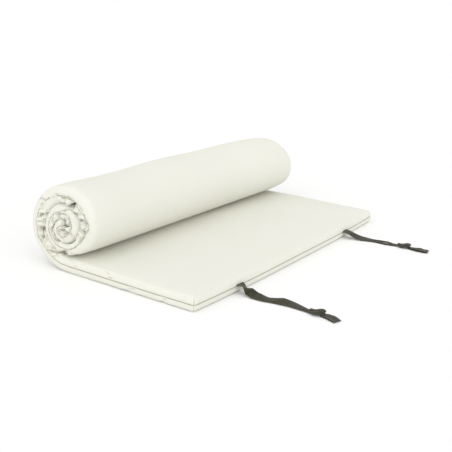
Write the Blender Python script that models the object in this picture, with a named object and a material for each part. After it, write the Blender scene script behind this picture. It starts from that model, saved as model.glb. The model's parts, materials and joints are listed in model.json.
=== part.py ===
"""Cotton futon mattress, partly rolled up, with two webbing ties on its free end.

The mattress lies on the floor with its free end towards +X.  Its other end is rolled up over
the flat stretch, so that the roll's axis lies along Y.  The origin is on the underside, under
the roll's axis and in the middle of the width.

The roll is a chain of short straight sections.  Each section lies along a tangent of the
roll's outline and turns about a line across the pad, close to its underside, so the sections
close into the roll and open out into one long flat pad.  A section is a sleeve of the cover around
its piece of the cotton wadding.
"""

import math
from collections import namedtuple

import bmesh
import bpy
from mathutils import Vector

# The mattress as it is bought, laid out flat (metres).
WIDTH = 1.40
LENGTH = 2.10
THICKNESS = 0.060

# The cover's cloth, and how it is sewn.
COVER_WALL = 0.0015
EDGE_RADIUS = 0.024
SEAM_GAP = 0.0006

# How far the wadding stands in from the cover, and how many layers lie in the flat stretch.
WADDING_GAP = 0.0005
WADDING_LAYERS = 3
WADDING_CORNER_INSET = 0.006
WADDING_EDGE_INSET = 0.022

# Thickness to which the rolled pad is pressed in its first, second and third turn.
TURN_THICKNESS = (0.055, 0.040, 0.032)

# The space that is left in and around the turns of the roll.
REST_GAP = 0.001
TOP_GAP = 0.024
FRONT_GAP = 0.040
BACK_GAP = 0.010
CORE_GAP = 0.009
CORE_HEIGHT = 0.034
INNER_END = 0.021

# Hinge lines in each half turn, from the floor to the inner end, how deep they lie above the
# pad's underside, and the gap between sections.
BENDS_PER_HALF_TURN = (5, 5, 4, 4, 4)
HINGE_DEPTH = 0.011
SECTION_GAP = 0.0010

# The webbing ties: flat tape doubled on itself, tied in a knot near its end.
TIE_WIDTH = 0.038
TIE_THICKNESS = 0.0024
TIE_CLEARANCE = 0.0012
TIE_CUT_MARGIN = 0.012
TIE_HINGE_REACH = 0.030
TIE_HINGE_HEIGHT = 0.5 * THICKNESS + 0.006
KNOT_SIZE = (0.050, 0.044, 0.015)
ROUTE_STEPS = 5

# Routes of the ties over the floor, from the seam to the knot: distance past the end of the
# mattress, place across the width, height of the tape's middle above the floor.  The tails
# are given in the same way, from the knot to the tip.
NEAR_ROUTE = (
    (0.000, -0.448, 0.5 * THICKNESS),
    (0.012, -0.448, 0.5 * THICKNESS),
    (0.035, -0.452, 0.0240),
    (0.064, -0.455, 0.0125),
    (0.105, -0.456, 0.0030),
    (0.165, -0.443, 0.0016),
    (0.215, -0.438, 0.0016),
    (0.285, -0.447, 0.0016),
)
NEAR_TAIL = (
    (0.000, -0.445, 0.0016),
    (0.024, -0.449, 0.0016),
    (0.057, -0.461, 0.0016),
)
FAR_ROUTE = (
    (0.000, 0.388, 0.5 * THICKNESS),
    (0.012, 0.388, 0.5 * THICKNESS),
    (0.035, 0.390, 0.0240),
    (0.062, 0.398, 0.0125),
    (0.100, 0.410, 0.0030),
    (0.145, 0.420, 0.0016),
    (0.205, 0.424, 0.0016),
    (0.240, 0.430, 0.0016),
)
FAR_TAIL = (
    (0.000, 0.430, 0.0016),
    (0.032, 0.428, 0.0016),
    (0.075, 0.434, 0.0016),
)

COTTON = ("cotton_cover", (0.86, 0.86, 0.80), 0.9)
WADDING = ("cotton_wadding", (0.80, 0.76, 0.66), 1.0)
WEBBING = ("olive_webbing", (0.075, 0.068, 0.040), 0.85)

Section = namedtuple("Section", "turn bend length thickness")


def clear_scene():
    """Remove whatever the scene holds."""
    for item in list(bpy.data.objects):
        bpy.data.objects.remove(item, do_unlink=True)


def make_material(finish):
    """Return the Principled material of a finish, given as name, colour and roughness."""
    name, colour, roughness = finish
    material = bpy.data.materials.get(name)
    if material is None:
        material = bpy.data.materials.new(name)
        material.use_nodes = True
        shader = material.node_tree.nodes["Principled BSDF"]
        shader.inputs["Base Color"].default_value = (*colour, 1.0)
        shader.inputs["Roughness"].default_value = roughness
        shader.inputs["Metallic"].default_value = 0.0
    return material


def add_object(name, bm, finish, collection, smooth=True):
    """Turn a bmesh into an object with its own material."""
    mesh = bpy.data.meshes.new(name)
    bmesh.ops.recalc_face_normals(bm, faces=bm.faces)
    bm.to_mesh(mesh)
    bm.free()
    if smooth:
        mesh.shade_smooth()
        mesh.set_sharp_from_angle(angle=math.radians(35.0))
    mesh.materials.append(make_material(finish))
    piece = bpy.data.objects.new(name, mesh)
    collection.objects.link(piece)
    return piece


def add_pivot(name, collection, parent, location, turn):
    """Add an empty on a hinge line, turned about Y from its parent."""
    pivot = bpy.data.objects.new(name, None)
    pivot.empty_display_size = 0.03
    pivot.parent = parent
    pivot.location = location
    pivot.rotation_euler = (0.0, turn, 0.0)
    collection.objects.link(pivot)
    return pivot


def rounded_bar(length, width, height, radius, steps=3):
    """Return a bar from x = -length to 0 on the floor, its four long edges rounded."""
    bm = bmesh.new()
    bmesh.ops.create_cube(bm, size=1.0)
    bmesh.ops.scale(bm, vec=(length, width, height), verts=bm.verts)
    bmesh.ops.translate(bm, vec=(-0.5 * length, 0.0, 0.5 * height), verts=bm.verts)
    along = [e for e in bm.edges if abs(e.verts[0].co.x - e.verts[1].co.x) > 0.5 * length]
    radius = min(radius, 0.45 * height)
    bmesh.ops.bevel(bm, geom=along, offset=radius, segments=steps, profile=0.5,
                    affect="EDGES", material=-1)
    return bm


def open_ends(bm, length, ends):
    """Take away the bar's end faces that lie at the given x values."""
    gone = []
    for face in bm.faces:
        x = face.calc_center_median().x
        if abs(abs(face.normal.x) - 1.0) < 0.01 and any(abs(x - end) < 0.01 * length for end in ends):
            gone.append(face)
    bmesh.ops.delete(bm, geom=gone, context="FACES_ONLY")


def give_wall(bm, wall):
    """Thicken an open surface inwards by the wall."""
    bmesh.ops.recalc_face_normals(bm, faces=bm.faces)
    bmesh.ops.solidify(bm, geom=bm.faces[:], thickness=wall)


def score(bm, level):
    """Cut an edge loop round a bar at a height, for its end planes to bend there."""
    everything = bm.verts[:] + bm.edges[:] + bm.faces[:]
    bmesh.ops.bisect_plane(bm, geom=everything, plane_co=(0.0, 0.0, level),
                           plane_no=(0.0, 0.0, 1.0))


def mitre_ends(bm, length, first_half_angle, last_half_angle):
    """Slant the bar's two end planes above the hinge lines, so that neighbours meet in the roll."""
    for vert in bm.verts:
        share = -vert.co.x / length
        above = max(0.0, vert.co.z - HINGE_DEPTH)
        first = -above * math.tan(first_half_angle)
        last = above * math.tan(last_half_angle)
        vert.co.x += (1.0 - share) * first + share * last


def mitre_flat_end(bm, start, first_bend):
    """Slant the flat stretch's end plane at the roll in the same way."""
    for vert in bm.verts:
        if vert.co.x < start + 1e-4:
            above = max(0.0, vert.co.z - HINGE_DEPTH)
            vert.co.x += 0.5 * SECTION_GAP + above * math.tan(0.5 * first_bend)


# ---------------------------------------------------------------- the roll's outline

def roll_levels():
    """Return the heights at which the pad's outer side crosses the line through the axis.

    They run along the pad: floor, top of the roll, on the flat stretch, and so on inwards.
    """
    first, second, third = TURN_THICKNESS
    on_flat = THICKNESS + REST_GAP
    on_second = on_flat + second + REST_GAP
    inner_top = on_second + third + CORE_HEIGHT + third
    second_top = inner_top + REST_GAP + second
    roll_top = second_top + TOP_GAP + first
    return (0.0, roll_top, on_flat, second_top, on_second, inner_top)


def roll_half_widths():
    """Return how far each half turn reaches to the back or the front of the roll's axis."""
    first, second, _ = TURN_THICKNESS
    outer = 0.5 * roll_levels()[1]
    back = outer - first - BACK_GAP
    front = outer - first - FRONT_GAP
    core = back - second - CORE_GAP
    return (outer, outer, back, front, core)


def tangent_point(turn):
    """Return the point of the outline whose tangent has turned by this angle from the floor."""
    levels = roll_levels()
    half = min(int(turn / math.pi + 1e-6), len(BENDS_PER_HALF_TURN) - 1)
    low, high = levels[half], levels[half + 1]
    reach = roll_half_widths()[half]
    rise = 0.5 * abs(high - low)
    outward = (-math.sin(turn), -math.cos(turn))
    scale = math.hypot(reach * outward[0], rise * outward[1])
    return Vector((reach ** 2 * outward[0] / scale, 0.0,
                   0.5 * (low + high) + rise ** 2 * outward[1] / scale))


def travel(turn):
    """Return the direction in which the pad runs inwards after turning by this angle."""
    return Vector((-math.cos(turn), 0.0, math.sin(turn)))


def inwards(turn):
    """Return the direction from the pad's underside to its upper side after turning."""
    return Vector((math.sin(turn), 0.0, math.cos(turn)))


def crossing(turn_a, turn_b):
    """Return where the tangents at two turning angles cross, at the depth of the hinges."""
    a = tangent_point(turn_a) + inwards(turn_a) * HINGE_DEPTH
    b = tangent_point(turn_b) + inwards(turn_b) * HINGE_DEPTH
    da, db = travel(turn_a), travel(turn_b)
    cross = da.x * db.z - da.z * db.x
    along = ((b.x - a.x) * db.z - (b.z - a.z) * db.x) / cross
    return a + da * along


def roll_sections():
    """Return the first hinge point and the list of sections from the floor inwards."""
    turns = [0.0]
    for half, bends in enumerate(BENDS_PER_HALF_TURN):
        turns += [math.pi * (half + (n + 1) / bends) for n in range(bends)]
    hinges = [crossing(a, b) for a, b in zip(turns, turns[1:])]
    lengths = [(q - p).length for p, q in zip(hinges, hinges[1:])] + [INNER_END]
    sections = []
    for index, length in enumerate(lengths):
        turned = turns[index + 1]
        layer = min(int((turned + 1e-6) / (2.0 * math.pi)), len(TURN_THICKNESS) - 1)
        sections.append(Section(turned, turned - turns[index], length, TURN_THICKNESS[layer]))
    return hinges[0], sections


# ---------------------------------------------------------------- the mattress

def build_section(index, section, next_bend, pivot, collection):
    """Build one section of the roll: a sleeve of the cover and the wadding in it."""
    length = section.length - SECTION_GAP
    shift = Vector((-0.5 * SECTION_GAP, 0.0, -HINGE_DEPTH))

    sleeve = rounded_bar(length, WIDTH, section.thickness, EDGE_RADIUS)
    open_ends(sleeve, length, (0.0, -length))
    give_wall(sleeve, COVER_WALL)
    score(sleeve, HINGE_DEPTH)
    mitre_ends(sleeve, length, 0.5 * section.bend, 0.5 * next_bend)
    bmesh.ops.translate(sleeve, vec=shift, verts=sleeve.verts)
    cover = add_object(f"cover_roll_{index:02d}", sleeve, COTTON, collection)
    cover.parent = pivot

    inset = COVER_WALL + WADDING_GAP
    core = rounded_bar(length, WIDTH - 2.0 * inset, section.thickness - 2.0 * inset,
                       EDGE_RADIUS - inset)
    bmesh.ops.translate(core, vec=(0.0, 0.0, inset), verts=core.verts)
    score(core, HINGE_DEPTH)
    mitre_ends(core, length, 0.5 * section.bend, 0.5 * next_bend)
    bmesh.ops.translate(core, vec=shift, verts=core.verts)
    wadding = add_object(f"wadding_roll_{index:02d}", core, WADDING, collection)
    wadding.parent = pivot


def build_roll(first_hinge, sections, collection):
    """Chain the sections from the flat stretch to the inner end of the roll."""
    pivot = None
    place = first_hinge
    for index, section in enumerate(sections, start=1):
        pivot = add_pivot(f"bend_{index:02d}", collection, pivot, place, section.bend)
        last = index == len(sections)
        next_bend = 0.0 if last else sections[index].bend
        build_section(index, section, next_bend, pivot, collection)
        place = (-section.length, 0.0, 0.0)


def flat_shell(length, end):
    """Return the flat stretch's outer surface, closed at its free end and open at the roll."""
    bm = rounded_bar(length, WIDTH, THICKNESS, EDGE_RADIUS)
    bmesh.ops.translate(bm, vec=(end, 0.0, 0.0), verts=bm.verts)
    rim = [e for e in bm.edges if all(abs(v.co.x - end) < 1e-5 for v in e.verts)]
    bmesh.ops.bevel(bm, geom=rim, offset=0.45 * EDGE_RADIUS, segments=2, profile=0.5,
                    affect="EDGES", material=-1)
    return bm


def build_flat_cover(start, end, first_bend, collection):
    """Build the cover's top and bottom panels, which meet in the seam at mid height."""
    length = end - start
    for name, side in (("cover_top_panel", 1.0), ("cover_bottom_panel", -1.0)):
        bm = flat_shell(length, end)
        open_ends(bm, length, (start,))
        level = 0.5 * THICKNESS + side * 0.5 * SEAM_GAP
        everything = bm.verts[:] + bm.edges[:] + bm.faces[:]
        bmesh.ops.bisect_plane(bm, geom=everything, plane_co=(0.0, 0.0, level),
                               plane_no=(0.0, 0.0, -side), clear_outer=True)
        give_wall(bm, COVER_WALL)
        if side < 0.0:
            score(bm, HINGE_DEPTH)
        mitre_flat_end(bm, start, first_bend)
        add_object(name, bm, COTTON, collection)


def build_flat_wadding(start, end, first_bend, collection):
    """Build the layers of cotton wadding in the flat stretch, the middle one the widest."""
    inset = COVER_WALL + WADDING_GAP
    height = THICKNESS - 2.0 * inset
    layer = height / WADDING_LAYERS
    for number in range(WADDING_LAYERS):
        middle = number == WADDING_LAYERS // 2
        side_inset = inset + (WADDING_CORNER_INSET if middle else WADDING_EDGE_INSET)
        length = end - side_inset - start
        bm = rounded_bar(length, WIDTH - 2.0 * side_inset, layer - WADDING_GAP, 0.3 * layer, 2)
        bmesh.ops.translate(bm, vec=(end - side_inset, 0.0, inset + number * layer), verts=bm.verts)
        if number == 0:
            score(bm, HINGE_DEPTH)
        mitre_flat_end(bm, start, first_bend)
        add_object(f"wadding_flat_{number + 1}", bm, WADDING, collection)


# ---------------------------------------------------------------- the ties

def smooth_route(points):
    """Return a smooth curve through the points, as a closely spaced list."""
    ends = [points[0] * 2.0 - points[1]] + points + [points[-1] * 2.0 - points[-2]]
    route = []
    for a, b, c, d in zip(ends, ends[1:], ends[2:], ends[3:]):
        for step in range(ROUTE_STEPS):
            t = step / ROUTE_STEPS
            route.append(0.5 * (2.0 * b + (c - a) * t + (2.0 * a - 5.0 * b + 4.0 * c - d) * t ** 2
                                + (3.0 * b - a - 3.0 * c + d) * t ** 3))
    route.append(points[-1])
    return route


def build_tape(name, route, collection):
    """Build a flat tape, level across its width, along a route, with its ends cut square."""
    bm = bmesh.new()
    rows = []
    last = len(route) - 1
    for index, point in enumerate(route):
        ahead = route[min(index + 1, last)] - route[max(index - 1, 0)]
        if index in (0, last):
            ahead.y = 0.0
        across = Vector((-ahead.y, ahead.x, 0.0)).normalized() * 0.5 * TIE_WIDTH
        lift = ahead.cross(across).normalized() * 0.5 * TIE_THICKNESS
        rows.append([bm.verts.new(point + a * across + b * lift)
                     for a, b in ((-1, -1), (1, -1), (1, 1), (-1, 1))])
    for first, second in zip(rows, rows[1:]):
        for corner in range(4):
            after = (corner + 1) % 4
            bm.faces.new((first[corner], first[after], second[after], second[corner]))
    bm.faces.new(rows[0][::-1])
    bm.faces.new(rows[-1])
    return add_object(name, bm, WEBBING, collection)


def build_knot(name, centre, collection):
    """Build the knot's plain outer shape, a rounded block lying on the floor."""
    bm = bmesh.new()
    bmesh.ops.create_cube(bm, size=1.0)
    bmesh.ops.scale(bm, vec=KNOT_SIZE, verts=bm.verts)
    bmesh.ops.bevel(bm, geom=bm.edges[:], offset=0.3 * KNOT_SIZE[2], segments=2, profile=0.5,
                    affect="EDGES", material=-1)
    bmesh.ops.translate(bm, vec=(centre[0], centre[1], 0.5 * KNOT_SIZE[2] + TIE_CLEARANCE),
                        verts=bm.verts)
    return add_object(name, bm, WEBBING, collection)


def split_route(route, reach):
    """Part a route where it has gone this far past its start, with a clearance between."""
    start = route[0].x
    near = [p for p in route if p.x - start < reach - TIE_CUT_MARGIN]
    far = [p for p in route if p.x - start > reach + TIE_CUT_MARGIN]
    cut = near[-1].lerp(far[0], (start + reach - near[-1].x) / (far[0].x - near[-1].x))
    step = (far[0] - near[-1]).normalized() * 0.5 * TIE_CLEARANCE
    return near + [cut - step], [cut + step] + far


def build_tie(side, end, route, tail, collection):
    """Build one tie: its sewn root, the tape, the knot and the doubled tail past the knot."""
    root_face = Vector((end + TIE_CLEARANCE, 0.0, 0.0))
    knot_face = root_face.x + route[-1][0] + TIE_CLEARANCE
    tail_face = Vector((knot_face + KNOT_SIZE[0] + TIE_CLEARANCE, 0.0, 0.0))
    knot_place = 0.5 * (route[-1][1] + tail[0][1])
    way = smooth_route([Vector(p) + root_face for p in route])
    tail_way = smooth_route([Vector(p) + tail_face for p in tail])
    root, tape = split_route(way, TIE_HINGE_REACH)
    build_tape(f"tie_{side}_root", root, collection)

    pivot = add_pivot(f"tie_{side}_pivot", collection, None,
                      (end + TIE_HINGE_REACH, 0.0, TIE_HINGE_HEIGHT), 0.0)
    centre = (knot_face + 0.5 * KNOT_SIZE[0], knot_place)
    pieces = (
        build_tape(f"tie_{side}_tape", tape, collection),
        build_knot(f"tie_{side}_knot", centre, collection),
        build_tape(f"tie_{side}_tail", tail_way, collection),
    )
    for piece in pieces:
        piece.parent = pivot
        for vert in piece.data.vertices:
            vert.co -= pivot.location


def main():
    """Build the whole mattress."""
    clear_scene()
    collection = bpy.data.collections.new("futon_mattress")
    bpy.context.scene.collection.children.link(collection)
    first_hinge, sections = roll_sections()
    rolled = sum(section.length for section in sections)
    flat_end = first_hinge.x + LENGTH - rolled
    first_bend = sections[0].bend
    build_flat_cover(first_hinge.x, flat_end, first_bend, collection)
    build_flat_wadding(first_hinge.x, flat_end, first_bend, collection)
    build_roll(first_hinge, sections, collection)
    build_tie("near", flat_end, NEAR_ROUTE, NEAR_TAIL, collection)
    build_tie("far", flat_end, FAR_ROUTE, FAR_TAIL, collection)


if __name__ == "__main__":
    main()
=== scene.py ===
"""Looks of a cotton futon mattress, partly rolled up, with two webbing ties on its free end.

The mattress lies on the floor with its free end towards +X and its width along Y.  Its skin is
one closed surface, made flat, shaped like a stuffed and boxed pad, bent along the roll, settled
by a cloth simulation and then parted where the roll's hinge lines need it.
"""

import json
import logging
import math
from dataclasses import dataclass, field
from enum import Enum
from typing import Any, Optional, Sequence, Union

import bmesh
import bpy
import numpy as np
from mathutils import Matrix, Vector, noise


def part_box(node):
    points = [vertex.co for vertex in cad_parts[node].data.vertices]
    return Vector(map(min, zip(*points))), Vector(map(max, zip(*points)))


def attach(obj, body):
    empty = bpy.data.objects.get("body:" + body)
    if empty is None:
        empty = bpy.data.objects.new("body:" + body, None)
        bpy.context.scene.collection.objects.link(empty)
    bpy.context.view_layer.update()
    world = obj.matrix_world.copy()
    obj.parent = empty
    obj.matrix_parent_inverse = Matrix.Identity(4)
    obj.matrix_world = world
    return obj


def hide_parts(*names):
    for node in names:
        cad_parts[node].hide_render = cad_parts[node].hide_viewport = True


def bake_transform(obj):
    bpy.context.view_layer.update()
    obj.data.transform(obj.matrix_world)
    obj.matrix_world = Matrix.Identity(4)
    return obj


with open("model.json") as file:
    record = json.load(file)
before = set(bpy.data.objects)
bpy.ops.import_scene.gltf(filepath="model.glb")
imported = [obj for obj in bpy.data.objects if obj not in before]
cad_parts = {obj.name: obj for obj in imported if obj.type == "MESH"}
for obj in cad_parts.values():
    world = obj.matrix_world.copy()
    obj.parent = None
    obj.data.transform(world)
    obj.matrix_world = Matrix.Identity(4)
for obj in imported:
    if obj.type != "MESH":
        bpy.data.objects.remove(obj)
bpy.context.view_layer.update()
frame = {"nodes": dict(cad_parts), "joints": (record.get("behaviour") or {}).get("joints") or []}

LOG = logging.getLogger("futon_mattress")
CLOTH_MAP = "cloth"
SUN_SPREAD = math.radians(110.0)
BELL_STEEPNESS = 1.5
BELL_BASE = 2.718
ON_LINE = 1e-6

Point = tuple[float, float, float]
Span = tuple[float, float]


class Side(Enum):
    """The two ties, named by the side of the mattress that they are on."""

    NEAR = "near"
    FAR = "far"


class Slot(Enum):
    """The record's material slots."""

    COVER = "cover"
    WEBBING = "webbing"


# ---------------------------------------------------------------- shader building

Operand = Union["Value", float]


class Value:
    """A number socket of a node tree that can be used in a Python expression."""

    def __init__(self, bench: "Bench", socket: bpy.types.NodeSocket) -> None:
        """Keep the socket and the bench that adds nodes for it."""
        self.bench = bench
        self.socket = socket

    def maths(self, operation: str, *others: Operand) -> "Value":
        """Add a Math node.

        Args:
            operation: The Math node's operation.
            others: The second and third operands.

        Returns:
            The node's result.
        """
        inputs = {index: item for index, item in enumerate((self, *others))}
        return self.bench.value("ShaderNodeMath", {"operation": operation}, inputs)

    def __add__(self, other: Operand) -> "Value":
        """Return the sum."""
        return self.maths("ADD", other)

    def __sub__(self, other: Operand) -> "Value":
        """Return the difference."""
        return self.maths("SUBTRACT", other)

    def __mul__(self, other: Operand) -> "Value":
        """Return the product."""
        return self.maths("MULTIPLY", other)

    def __lt__(self, other: Operand) -> "Value":
        """Return 1 where this is less than the other, else 0."""
        return self.maths("LESS_THAN", other)

    def __rsub__(self, other: float) -> "Value":
        """Return a number less this value."""
        inputs = {0: other, 1: self}
        return self.bench.value("ShaderNodeMath", {"operation": "SUBTRACT"}, inputs)

    __radd__ = __add__
    __rmul__ = __mul__

    def sine(self) -> "Value":
        """Return the sine of this value in radians."""
        return self.maths("SINE")

    def remainder(self, step: float) -> "Value":
        """Return what is left of this value after whole steps, never negative."""
        return self.maths("FLOORED_MODULO", step)

    def bell(self, width: float) -> "Value":
        """Return a smooth bump, 1 where this value is 0 and almost 0 from the width on."""
        scaled = self * (BELL_STEEPNESS / width)
        inputs = {0: BELL_BASE, 1: scaled * scaled * -1.0}
        return self.bench.value("ShaderNodeMath", {"operation": "POWER"}, inputs)


class Bench:
    """One material's node tree, with the one method that adds nodes to it."""

    def __init__(self, name: str, roughness: float, sheen: float) -> None:
        """Make the material with its uniform values set on the shader itself."""
        self.material = bpy.data.materials.new(name)
        self.material.use_nodes = True
        self.tree = self.material.node_tree
        self.shader = self.tree.nodes["Principled BSDF"]
        self.shader.inputs["Roughness"].default_value = roughness
        self.shader.inputs["Sheen Weight"].default_value = sheen
        self.shader.inputs["Sheen Roughness"].default_value = 0.45
        self.shader.inputs["Specular IOR Level"].default_value = 0.2

    def add(self, kind: str, settings: Optional[dict[str, Any]] = None,
            inputs: Optional[dict[Union[int, str], Any]] = None) -> bpy.types.ShaderNode:
        """Add a node.

        Args:
            kind: The node's type.
            settings: Attributes of the node, set first.
            inputs: Values or sockets by the input's name or number.

        Returns:
            The node.
        """
        node = self.tree.nodes.new(kind)
        for key, setting in (settings or {}).items():
            setattr(node, key, setting)
        for key, item in (inputs or {}).items():
            source = item.socket if isinstance(item, Value) else item
            if isinstance(source, bpy.types.NodeSocket):
                self.tree.links.new(source, node.inputs[key])
            elif isinstance(source, tuple) and len(source) == 3 and node.inputs[key].type == "RGBA":
                node.inputs[key].default_value = (*source, 1.0)
            else:
                node.inputs[key].default_value = source
        return node

    def value(self, kind: str, settings: dict[str, Any],
              inputs: dict[Union[int, str], Any], output: Union[int, str] = 0) -> Value:
        """Add a node and return one of its outputs as a value."""
        return Value(self, self.add(kind, settings, inputs).outputs[output])

    def cloth_place(self) -> tuple[Value, Value]:
        """Return the place on the cloth along and across it, in metres."""
        where = self.add("ShaderNodeUVMap", {"uv_map": CLOTH_MAP})
        parts = self.add("ShaderNodeSeparateXYZ", inputs={0: where.outputs[0]})
        return Value(self, parts.outputs[0]), Value(self, parts.outputs[1])

    def attribute(self, name: str) -> Value:
        """Return a number that is kept on the mesh."""
        return self.value("ShaderNodeAttribute", {"attribute_name": name}, {}, "Fac")

    def grain(self, along: Operand, across: Operand, scale: float, detail: float = 2.0) -> Value:
        """Return noise over the cloth, between 0 and 1.

        Args:
            along: Place along the cloth, perhaps stretched.
            across: Place across the cloth, perhaps stretched.
            scale: How many grains there are in a metre.
            detail: Octaves of finer grain.

        Returns:
            The noise.
        """
        place = self.add("ShaderNodeCombineXYZ", inputs={0: along, 1: across})
        return self.value("ShaderNodeTexNoise", {"noise_dimensions": "3D"},
                          {"Vector": place.outputs[0], "Scale": scale, "Detail": detail})

    def blend_colours(self, share: Value, first: Any, second: Any) -> bpy.types.NodeSocket:
        """Return a colour between two, the first where the share is 0."""
        mixed = self.add("ShaderNodeMix", {"data_type": "RGBA"}, {0: share, 6: first, 7: second})
        return mixed.outputs[2]

    def finish(self, colour: bpy.types.NodeSocket, height: Value, depth: float,
               strength: float = 1.0) -> bpy.types.Material:
        """Join the colour and the relief to the shader.

        Args:
            colour: The base colour.
            height: The relief between 0 and 1.
            depth: How many metres a relief of 1 stands proud.
            strength: How much of the relief shows.

        Returns:
            The finished material.
        """
        bump = self.add("ShaderNodeBump", inputs={"Height": height, "Distance": depth,
                                                  "Strength": strength})
        self.tree.links.new(colour, self.shader.inputs["Base Color"])
        self.tree.links.new(bump.outputs[0], self.shader.inputs["Normal"])
        return self.material


@dataclass(frozen=True)
class CottonSheeting:
    """Closely woven undyed cotton cloth, matt, with a mid seam and its stitches."""

    name: str = "cotton_sheeting"
    lit: tuple[float, float, float] = (0.800, 0.801, 0.735)
    warm: tuple[float, float, float] = (0.785, 0.778, 0.690)
    # Painted shade: the colour that hollow folds, corner darts and the seam's groove are darkened
    # towards.
    fold_shade: tuple[float, float, float] = (0.42, 0.41, 0.30)
    thread_pitch: float = 0.0011
    stitch_pitch: float = 0.0042
    stitch_line: float = 0.0034

    def material(self) -> bpy.types.Material:
        """Return the cloth's material, with painted shade in its folds and along its seam."""
        bench = Bench(self.name, roughness=0.93, sheen=0.12)
        along, across = bench.cloth_place()
        turn = 2.0 * math.pi / self.thread_pitch
        weave = (along * turn).sine() * (across * turn).sine()
        slubs = bench.grain(along * 0.12, across, 420.0) + bench.grain(along, across * 0.12, 420.0)
        clouds = bench.grain(along, across, 3.5, 3.0)
        flecks = bench.grain(along, across, 90.0, 1.0)
        # Painted shade: how deep in a hollow fold the cloth is, which darkens its colour.
        fold_shade = bench.attribute("fold_shade")
        seam = bench.attribute("seam_distance")
        run = bench.attribute("seam_run")
        stitch = (seam - self.stitch_line).bell(0.0011) * (
            run.remainder(self.stitch_pitch) < 0.72 * self.stitch_pitch)
        # The seam's groove: it sinks the relief, and it darkens the colour with painted shade.
        crease = seam.bell(0.0022)
        tint = clouds * 1.1 + slubs * 0.22 + flecks * 0.16 - 0.42
        cloth = bench.blend_colours(tint, self.lit, self.warm)
        # Painted shade: the colour darkens in hollow folds, along the corner darts and in the
        # seam's groove.
        dark = (fold_shade * 0.85 + crease * 0.40).maths("MINIMUM", 1.0)
        colour = bench.blend_colours(dark, cloth, self.fold_shade)
        relief = weave * 0.22 + slubs * 0.30 + stitch * 0.9 - crease * 1.2
        return bench.finish(colour, relief, depth=0.00035, strength=0.7)


@dataclass(frozen=True)
class OliveWebbing:
    """Ribbed cotton webbing in a dark olive, lighter in worn patches, with painted shade in the
    grooves between its ribs and a painted highlight along its edges.
    """

    name: str = "olive_webbing"
    dark: tuple[float, float, float] = (0.018, 0.016, 0.006)
    middle: tuple[float, float, float] = (0.040, 0.036, 0.016)
    # Wear and painted highlight: the lighter colour of worn patches and of the tape's edges and the
    # knot's rims.
    wear_and_edge_highlight: tuple[float, float, float] = (0.092, 0.084, 0.048)
    rib_pitch: float = 0.0022

    def material(self) -> bpy.types.Material:
        """Return the webbing's material."""
        bench = Bench(self.name, roughness=0.82, sheen=0.25)
        along, across = bench.cloth_place()
        turn = 2.0 * math.pi / self.rib_pitch
        rib = (across * turn + (along * turn * 1.7).sine() * 0.9).sine() * 0.5 + 0.5
        weft = (along * turn * 1.7).sine() * 0.5 + 0.5
        fuzz = bench.grain(along, across, 900.0)
        wear = bench.grain(along, across * 0.4, 38.0, 4.0)
        edge = bench.attribute("edge")
        # Painted shade: darker in the grooves between the ribs, following the rib relief.
        base = bench.blend_colours(rib * 0.7 + fuzz * 0.3, self.dark, self.middle)
        # Lighter in worn patches, and a painted highlight along the tape's edges and the knot's
        # rims.
        share = (wear * wear * 0.9 + edge * 0.45 - 0.12).maths("MAXIMUM", 0.0)
        colour = bench.blend_colours(share, base, self.wear_and_edge_highlight)
        return bench.finish(colour, rib * 0.6 + weft * 0.25 + fuzz * 0.25, depth=0.0006)


# ---------------------------------------------------------------- meshes and numbers

def link_mesh(name: str, bm: bmesh.types.BMesh) -> bpy.types.Object:
    """Turn a bmesh into a linked object, and free the bmesh."""
    mesh = bpy.data.meshes.new(name)
    bm.to_mesh(mesh)
    bm.free()
    piece = bpy.data.objects.new(name, mesh)
    bpy.context.scene.collection.objects.link(piece)
    return piece


def noise_at(x: Any, y: Any, z: float) -> np.ndarray:
    """Return smooth noise, between -1 and 1, at each pair of an x and a y."""
    return np.array([noise.noise(Vector(place)) for place in np.broadcast(x, y, z)])


def keep_number(mesh: bpy.types.Mesh, name: str, numbers: np.ndarray) -> None:
    """Keep a number for each point on a mesh."""
    kept = mesh.attributes.new(name, "FLOAT", "POINT")
    kept.data.foreach_set("value", np.asarray(numbers, np.float32))


# ---------------------------------------------------------------- the line of the roll

def smooth_step(value: np.ndarray, low: float, high: float) -> np.ndarray:
    """Return a smooth rise from 0 at the low value to 1 at the high one."""
    share = np.clip((value - low) / (high - low), 0.0, 1.0)
    return share * share * (3.0 - 2.0 * share)


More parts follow.
